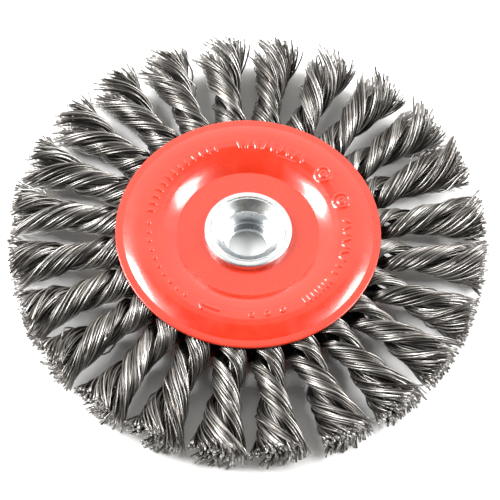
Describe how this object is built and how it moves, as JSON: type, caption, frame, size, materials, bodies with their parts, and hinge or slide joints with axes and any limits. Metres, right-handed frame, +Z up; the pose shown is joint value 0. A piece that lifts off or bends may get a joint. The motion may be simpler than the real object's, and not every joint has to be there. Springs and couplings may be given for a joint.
{
  "type": "knotted wire wheel brush",
  "caption": "Round wire brush for a grinder: twisted steel wire knots held between two dished red steel plates on a plated hub with a plain bore.",
  "frame": {"origin": "on the bore axis in the wheel's middle plane, which is the centre of the bounding box", "axes": "+Z along the bore axis towards the front plate and clamp ring; +X along the first knot; the wheel lies flat with +Z up"},
  "size_m": [0.15, 0.15, 0.0164],
  "materials": {
    "red_enamel": "glossy orange-red enamel",
    "zinc_plate": "bright zinc plating",
    "plain_steel": "plain rolled steel, oiled",
    "wire_steel": "drawn carbon steel wire, semi-bright"
  },
  "bodies": {
    "root": {"front_plate": "red_enamel", "back_plate": "red_enamel", "knot_ring": "plain_steel", "hub_sleeve": "zinc_plate", "clamp_ring": "zinc_plate", "front_spacer": "plain_steel", "back_spacer": "plain_steel", "knot_01": "wire_steel", "knot_02": "wire_steel", "knot_03": "wire_steel", "knot_04": "wire_steel", "knot_05": "wire_steel", "knot_06": "wire_steel", "knot_07": "wire_steel", "knot_08": "wire_steel", "knot_09": "wire_steel", "knot_10": "wire_steel", "knot_11": "wire_steel", "knot_12": "wire_steel", "knot_13": "wire_steel", "knot_14": "wire_steel", "knot_15": "wire_steel", "knot_16": "wire_steel", "knot_17": "wire_steel", "knot_18": "wire_steel", "knot_19": "wire_steel", "knot_20": "wire_steel", "knot_21": "wire_steel", "knot_22": "wire_steel", "knot_23": "wire_steel", "knot_24": "wire_steel"}
  },
  "joints": []
}
